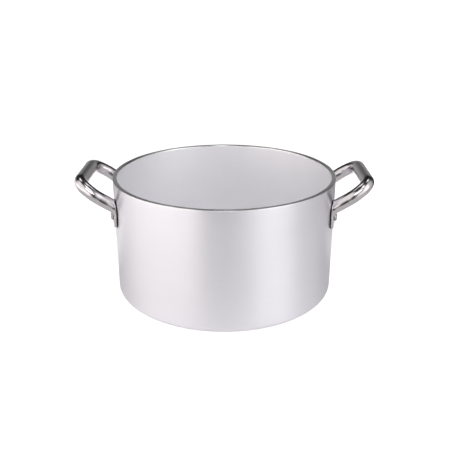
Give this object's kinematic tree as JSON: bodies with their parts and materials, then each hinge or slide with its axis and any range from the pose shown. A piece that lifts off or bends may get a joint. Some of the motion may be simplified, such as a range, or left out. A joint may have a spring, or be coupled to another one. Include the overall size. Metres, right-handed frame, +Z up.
{
  "type": "stock pot",
  "caption": "Shallow straight-sided aluminium stock pot with a thick flat rim and tubular steel loop handles riveted to the sides through flattened feet.",
  "frame": {"origin": "centre of the pot's flat base, on the surface it stands on", "axes": "+Z up along the pot's axis, +X through the right handle, +Y away from the viewer"},
  "size_m": [0.3146, 0.24, 0.1353],
  "materials": {
    "pot_aluminium": "satin turned",
    "handle_steel": "polished",
    "rivet_aluminium": "satin"
  },
  "bodies": {
    "root": {"pot_body": "pot_aluminium", "handle_left": "handle_steel", "handle_right": "handle_steel", "rivet_left_front": "rivet_aluminium", "rivet_left_back": "rivet_aluminium", "rivet_right_front": "rivet_aluminium", "rivet_right_back": "rivet_aluminium"}
  },
  "joints": []
}
